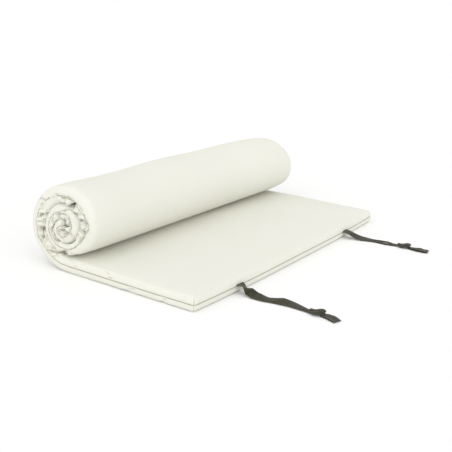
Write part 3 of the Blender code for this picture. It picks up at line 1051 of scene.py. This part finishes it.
@dataclass
class Tape:
    """A flat woven tape, swept along a route and given its thickness."""

    width: float
    thickness: float
    across_faces: int = 8
    floor_gap: float = 0.0005

    def sweep(self, name: str, strands: Sequence[tuple[Sequence[Vector], Sequence[Lie], float]]
              ) -> bpy.types.Object:
        """Sweep one or more strands of tape into one piece.

        Args:
            name: The piece's name.
            strands: For each strand its route, how it lies, and on which side of the
                route it lies, -1 below and 1 above.

        Returns:
            The piece.
        """
        whole = bmesh.new()
        whole.loops.layers.uv.new(CLOTH_MAP)
        whole.verts.layers.float.new("edge")
        for route, lies, above in strands:
            bm = bmesh.new()
            layer = bm.loops.layers.uv.new(CLOTH_MAP)
            rim = bm.verts.layers.float.new("edge")
            count = len(route) - 1
            bmesh.ops.create_grid(bm, x_segments=count, y_segments=self.across_faces, size=1.0)
            place = {v: (round((v.co.x + 1.0) * 0.5 * count), v.co.y) for v in bm.verts}
            travelled = np.cumsum([0.0, *[(b - a).length for a, b in zip(route, route[1:])]])
            for face in bm.faces:
                for loop in face.loops:
                    row, side = place[loop.vert]
                    loop[layer].uv = (travelled[row], side * 0.5 * self.width)
            rows: dict[int, list[tuple[bmesh.types.BMVert, float]]] = {}
            for vert, (row, side) in place.items():
                rows.setdefault(row, []).append((vert, side))
                # How near the tape's edge a point is, where the painted highlight goes.
                vert[rim] = max(0.0, abs(side) * 4.0 - 3.0)
            headings = self.headings(route)
            for row, members in rows.items():
                self.lay_row(route[row], headings[row], travelled[row] / travelled[-1], lies,
                             above, members)
            bmesh.ops.recalc_face_normals(bm, faces=bm.faces)
            bmesh.ops.solidify(bm, geom=bm.faces[:], thickness=self.thickness)
            bmesh.ops.recalc_face_normals(bm, faces=bm.faces)
            part = bpy.data.meshes.new(name)
            bm.to_mesh(part)
            bm.free()
            whole.from_mesh(part)
            bpy.data.meshes.remove(part)
        piece = link_mesh(name, whole)
        piece.data.shade_smooth()
        piece.data.set_sharp_from_angle(angle=math.radians(50.0))
        return piece

    @staticmethod
    def headings(route: Sequence[Vector]) -> list[tuple[Vector, Vector]]:
        """Return the way ahead and the way across at each point, never turned over."""
        last = len(route) - 1
        found: list[tuple[Vector, Vector]] = []
        for row in range(last + 1):
            ahead = (route[min(row + 1, last)] - route[max(row - 1, 0)]).normalized()
            across = Vector((-ahead.y, ahead.x, 0.0))
            if found and across.length < 0.35:
                across = found[-1][1] - ahead * found[-1][1].dot(ahead)
            across.normalize()
            if found and across.dot(found[-1][1]) < 0.0:
                across.negate()
            found.append((ahead, across))
        return found

    def lay_row(self, place: Vector, heading: tuple[Vector, Vector], share: float,
                lies: Sequence[Lie], above: float,
                members: Sequence[tuple[bmesh.types.BMVert, float]]) -> None:
        """Put one row of the tape's points across its route, clear of the floor.

        Args:
            place: Where the row lies.
            heading: The way ahead and the way across there.
            share: How far along the tape it is, from 0 to 1.
            lies: How the tape lies at some shares of its length.
            above: On which side of the route the strand lies.
            members: The row's points, with their places across the tape.
        """
        shares = [lie.share for lie in lies]
        tilt, width, apart, spread = (
            float(np.interp(share, shares, [getattr(lie, key) for lie in lies]))
            for key in ("tilt", "width", "apart", "spread"))
        ahead, level = heading
        across = Matrix.Rotation(math.radians(tilt), 3, ahead) @ level
        up = ahead.cross(across).normalized()
        middle = place + across * spread * above
        middle += up * above * (0.55 * self.thickness + 0.5 * apart)
        reach = 0.5 * self.width * width
        for vert, side in members:
            sag = 0.10 * reach * (1.0 - width) * 4.0 * (1.0 - side * side)
            vert.co = middle + across * side * reach + up * sag
        lowest = min(vert.co.z for vert, _ in members)
        lift = max(0.0, self.floor_gap + self.thickness * (1.0 + 0.5 * (1.0 + above)) - lowest)
        for vert, _ in members:
            vert.co.z += lift


@dataclass
class BunchedTape:
    """The doubled tape where it is drawn together in a knot, a flat closed bundle."""

    half_width: float = 0.0112
    half_height: float = 0.0042
    ridges: float = 0.0009
    around: int = 20
    floor_gap: float = 0.0006

    def sweep(self, name: str, route: Sequence[Vector]) -> bpy.types.Object:
        """Sweep the bundle along a route.

        Args:
            name: The piece's name.
            route: Evenly spaced points of its middle line.

        Returns:
            The piece.
        """
        bm = bmesh.new()
        cloth = bm.loops.layers.uv.new(CLOTH_MAP)
        rim = bm.verts.layers.float.new("edge")
        count = len(route) - 1
        bmesh.ops.create_grid(bm, x_segments=count, y_segments=self.around, size=1.0)
        headings = Tape.headings(route)
        step = length_of(route) / count
        place = {v: (round((v.co.x + 1.0) * 0.5 * count), v.co.y) for v in bm.verts}
        for face in bm.faces:
            for loop in face.loops:
                row, side = place[loop.vert]
                loop[cloth].uv = (row * step, side * 2.0 * self.half_width)
        for vert, (row, side) in place.items():
            ahead, across = headings[row]
            up = ahead.cross(across).normalized()
            angle = math.pi * side
            ridge = self.ridges * math.cos(6.0 * angle)
            vert.co = (route[row] + across * math.cos(angle) * self.half_width
                       + up * math.sin(angle) * (self.half_height + ridge))
            vert.co.z = max(vert.co.z, self.floor_gap)
            # Near the knot's side rims, where the painted highlight goes.
            vert[rim] = abs(math.cos(angle)) ** 4
        bmesh.ops.remove_doubles(bm, verts=bm.verts, dist=1e-6)
        bmesh.ops.holes_fill(bm, edges=[e for e in bm.edges if e.is_boundary], sides=0)
        bmesh.ops.recalc_face_normals(bm, faces=bm.faces)
        piece = link_mesh(name, bm)
        piece.data.shade_smooth()
        return piece


@dataclass
class Tie:
    """One webbing tie: a doubled tape, sewn into the seam, with a knot and a doubled tail.

    The route's and the tail's points are distance past the end of the mattress or past the
    knot, place across the width, and height of the tape's middle above the floor.
    """

    side: Side
    route: tuple[Point, ...]
    tail: tuple[Point, ...]
    lies: tuple[Lie, ...]
    tail_lies: tuple[Lie, ...]
    width: float = 0.038
    thickness: float = 0.0012
    clearance: float = 0.0012
    sewn_in: float = 0.004
    hinge_reach: float = 0.014
    row_gap: float = 0.0035
    tail_row_gap: float = 0.0022
    knot_row_gap: float = 0.0018
    knot_size: Point = (0.050, 0.044, 0.015)
    end: float = field(init=False)
    way: list[Vector] = field(init=False)

    def __post_init__(self) -> None:
        """Lay the tie's route out from the end of the mattress."""
        self.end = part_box("cover_top_panel")[1].x
        root_face = Vector((self.end + self.clearance, 0.0, 0.0))
        self.way = smooth_route([Vector(p) + root_face for p in self.route])
        self.knot_face = root_face.x + self.route[-1][0] + self.clearance
        self.tail_face = self.knot_face + self.knot_size[0] + self.clearance

    def build(self) -> tuple[bpy.types.Object, bpy.types.Object, bpy.types.Object]:
        """Build the tape, the knot and the tail."""
        tape = Tape(self.width, self.thickness)
        start = self.way[0] - Vector((self.sewn_in, 0.0, 0.0))
        route = evenly([start, *self.way, Vector((self.knot_face + 0.004, self.way[-1].y,
                                                  self.way[-1].z + 0.003))],
                       self.row_gap)
        webbing = tape.sweep(f"webbing_{self.side.value}",
                             [(route, self.lies, -1.0), (route, self.lies, 1.0)])
        knot = self.build_knot()
        tail = self.build_tail(tape)
        self.dress(webbing, knot, tail)
        return webbing, knot, tail

    def build_knot(self) -> bpy.types.Object:
        """Build the overhand knot, drawn tight and pressed flat."""
        long, wide, high = self.knot_size
        middle = Vector((self.knot_face + 0.5 * long, 0.5 * (self.way[-1].y + self.tail[0][1]),
                         0.0))
        loops = []
        for t in np.linspace(-2.06, 2.06, 90):
            ends = 1.0 - float(smooth_step(np.array(abs(t)), 1.45, 2.06))
            x = (t ** 3 - 3.0 * t) / 2.6 * 0.5 * long
            y = -(t ** 4 - 4.0 * t ** 2 + 2.0 * ends) * 0.125 * wide
            z = (t ** 5 / 5.0 - 2.0 * t) / 1.9 * 0.34 * high * ends
            loops.append(middle + Vector((x, y * ends, 0.60 * high + z)))
        return BunchedTape().sweep(f"knot_{self.side.value}", evenly(loops, self.knot_row_gap))

    def build_tail(self, tape: Tape) -> bpy.types.Object:
        """Build the tail, which runs out of the knot and turns back on itself at its tip."""
        face = Vector((self.tail_face, 0.0, 0.0))
        out = smooth_route([Vector(p) + face for p in self.tail])
        out.insert(0, out[0] - Vector((0.007, 0.0, -0.003)))
        heading = (out[-1] - out[-2]).normalized()
        rise = Vector((0.0, 0.0, 2.2 * self.thickness))
        turn = [out[-1] + heading * 0.0012 + rise * 0.2, out[-1] + heading * 0.0018 + rise * 0.5,
                out[-1] + heading * 0.0012 + rise * 0.8]
        out[-1] = out[-1] - heading * 0.0008
        back = [point + rise for point in reversed(out)]
        route = evenly([*out, *turn, *back], self.tail_row_gap)
        name = f"tail_{self.side.value}"
        return tape.sweep(name, [(route, self.tail_lies, -1.0)])

    def dress(self, webbing: bpy.types.Object, knot: bpy.types.Object,
              tail: bpy.types.Object) -> None:
        name = self.side.value
        body = f"tie_{name}"
        cloth = bpy.data.materials.get(OliveWebbing.name) or OliveWebbing().material()
        for piece in (webbing, knot, tail):
            piece.data.materials.append(cloth)
        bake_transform(webbing)
        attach(knot, body)
        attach(tail, body)
        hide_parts(f"tie_{name}_root", f"tie_{name}_tape")
        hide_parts(f"tie_{name}_knot")
        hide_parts(f"tie_{name}_tail")
        round(length_of(self.way), 3)
        LOG.info("%s tie: %.3f m to its knot", name, length_of(self.way))


NEAR_TIE = {
    "route": ((0.000, -0.448, 0.030), (0.012, -0.448, 0.030), (0.035, -0.452, 0.0240),
              (0.064, -0.455, 0.0125), (0.105, -0.456, 0.0030), (0.165, -0.443, 0.0016),
              (0.215, -0.438, 0.0016), (0.285, -0.447, 0.0016)),
    "tail": ((0.000, -0.445, 0.0016), (0.024, -0.449, 0.0016), (0.057, -0.461, 0.0016)),
    "lies": (Lie(0.0), Lie(0.06), Lie(0.13, tilt=-28, width=0.75), Lie(0.20, tilt=20),
             Lie(0.34, tilt=16, width=0.95), Lie(0.46, tilt=4, width=0.70, spread=0.004),
             Lie(0.53, tilt=12, width=0.60, spread=0.006, apart=0.002), Lie(0.62, tilt=16),
             Lie(0.78, tilt=8, width=0.85), Lie(0.92, tilt=4, width=0.60),
             Lie(1.0, width=0.50)),
    "tail_lies": (Lie(0.0, width=0.70), Lie(0.12, tilt=6, width=0.80),
                  Lie(0.30, tilt=9, width=0.86), Lie(0.46, tilt=2, width=0.86),
                  Lie(0.54, tilt=2, width=0.86), Lie(0.70, tilt=9, width=0.86),
                  Lie(0.88, tilt=6, width=0.80), Lie(1.0, width=0.70)),
}
FAR_TIE = {
    "route": ((0.000, 0.388, 0.030), (0.012, 0.388, 0.030), (0.035, 0.390, 0.0240),
              (0.062, 0.398, 0.0125), (0.100, 0.410, 0.0030), (0.145, 0.420, 0.0016),
              (0.205, 0.424, 0.0016), (0.240, 0.430, 0.0016)),
    "tail": ((0.000, 0.430, 0.0016), (0.032, 0.428, 0.0016), (0.075, 0.434, 0.0016)),
    "lies": (Lie(0.0), Lie(0.08), Lie(0.20, tilt=14, width=0.9), Lie(0.38, tilt=10),
             Lie(0.55, tilt=4, width=0.75), Lie(0.66, tilt=6, width=0.42, spread=0.007,
                                                apart=0.004),
             Lie(0.80, tilt=6, width=0.38, spread=0.010, apart=0.005),
             Lie(0.93, tilt=2, width=0.42, spread=0.004), Lie(1.0, width=0.45)),
    "tail_lies": (Lie(0.0, width=0.50), Lie(0.12, tilt=8, width=0.72), Lie(0.30, tilt=10),
                  Lie(0.46, tilt=2), Lie(0.54, tilt=2), Lie(0.70, tilt=10),
                  Lie(0.88, tilt=8, width=0.72), Lie(1.0, width=0.50)),
}


# ---------------------------------------------------------------- the studio

@dataclass
class Studio:
    """A plain pale floor, a soft light overhead and the camera."""

    camera_place: Point = (1.932, -2.578, 1.001)
    camera_heading: Point = (-0.524, 0.801, -0.291)
    camera_roll: float = math.radians(2.66)
    lens: float = 61.5
    sensor: float = 36.0
    floor_reach: float = 60.0
    paper: tuple[float, float, float] = (0.945, 0.943, 0.938)
    sky: float = 0.71
    overhead: float = 0.72
    front: float = 1.22

    def place_camera(self) -> None:
        """Create the camera at its viewing angle."""
        data = bpy.data.cameras.new("camera")
        data.lens = self.lens
        data.sensor_width = self.sensor
        data.clip_end = 200.0
        camera = bpy.data.objects.new("camera", data)
        bpy.context.scene.collection.objects.link(camera)
        bpy.context.scene.camera = camera
        heading = Vector(self.camera_heading).normalized()
        level = heading.cross(Vector((0.0, 0.0, 1.0))).normalized()
        upright = level.cross(heading)
        right = level * math.cos(self.camera_roll) + upright * math.sin(self.camera_roll)
        up = right.cross(heading)
        turn = Matrix((right, up, -heading)).transposed()
        camera.matrix_world = Matrix.Translation(self.camera_place) @ turn.to_4x4()

    def light(self) -> None:
        """Light the studio evenly, a little more from above and from the free end."""
        world = bpy.data.worlds.new("studio")
        bpy.context.scene.world = world
        world.use_nodes = True
        tree = world.node_tree
        soft = tree.nodes["Background"]
        soft.inputs["Color"].default_value = (1.0, 1.0, 1.0, 1.0)
        soft.inputs["Strength"].default_value = self.sky
        seen = tree.nodes.new("ShaderNodeBackground")
        seen.inputs["Color"].default_value = (1.0, 1.0, 1.0, 1.0)
        path = tree.nodes.new("ShaderNodeLightPath")
        mix = tree.nodes.new("ShaderNodeMixShader")
        tree.links.new(path.outputs["Is Camera Ray"], mix.inputs[0])
        tree.links.new(soft.outputs[0], mix.inputs[1])
        tree.links.new(seen.outputs[0], mix.inputs[2])
        tree.links.new(mix.outputs[0], tree.nodes["World Output"].inputs["Surface"])
        self.add_sun("overhead", (-0.35, -0.55, 1.0), self.overhead)
        self.add_sun("front", (0.80, -0.60, 0.42), self.front)

    @staticmethod
    def add_sun(name: str, towards: Point, strength: float) -> None:
        """Add a very soft light from far away, in the direction given."""
        data = bpy.data.lights.new(name, "SUN")
        data.angle = SUN_SPREAD
        data.energy = strength
        lamp = bpy.data.objects.new(name, data)
        lamp.rotation_mode = "QUATERNION"
        lamp.rotation_quaternion = Vector(towards).to_track_quat("Z", "Y")
        bpy.context.scene.collection.objects.link(lamp)

    def lay_floor(self) -> None:
        """Lay the floor just under the mattress."""
        bm = bmesh.new()
        bmesh.ops.create_grid(bm, x_segments=2, y_segments=2, size=self.floor_reach)
        bmesh.ops.translate(bm, vec=(0.0, 0.0, -0.0006), verts=bm.verts)
        floor = link_mesh("studio_floor", bm)
        bench = Bench("studio_paper", roughness=0.95, sheen=0.0)
        bench.shader.inputs["Base Color"].default_value = (*self.paper, 1.0)
        floor.data.materials.append(bench.material)

    def build(self) -> None:
        """Set up everything but the camera."""
        self.light()
        self.lay_floor()
        bpy.context.scene.view_settings.view_transform = "Standard"


def main() -> None:
    """Build the studio's camera, the ties, the mattress and the rest of the studio."""
    logging.basicConfig(level=logging.INFO, format="%(name)s: %(message)s")
    studio = Studio()
    studio.place_camera()
    for side, facts in ((Side.NEAR, NEAR_TIE), (Side.FAR, FAR_TIE)):
        Tie(side, **facts).build()
    mattress = Mattress(RollLine())
    mattress.dress(mattress.build())
    studio.build()


if __name__ == "__main__":
    main()
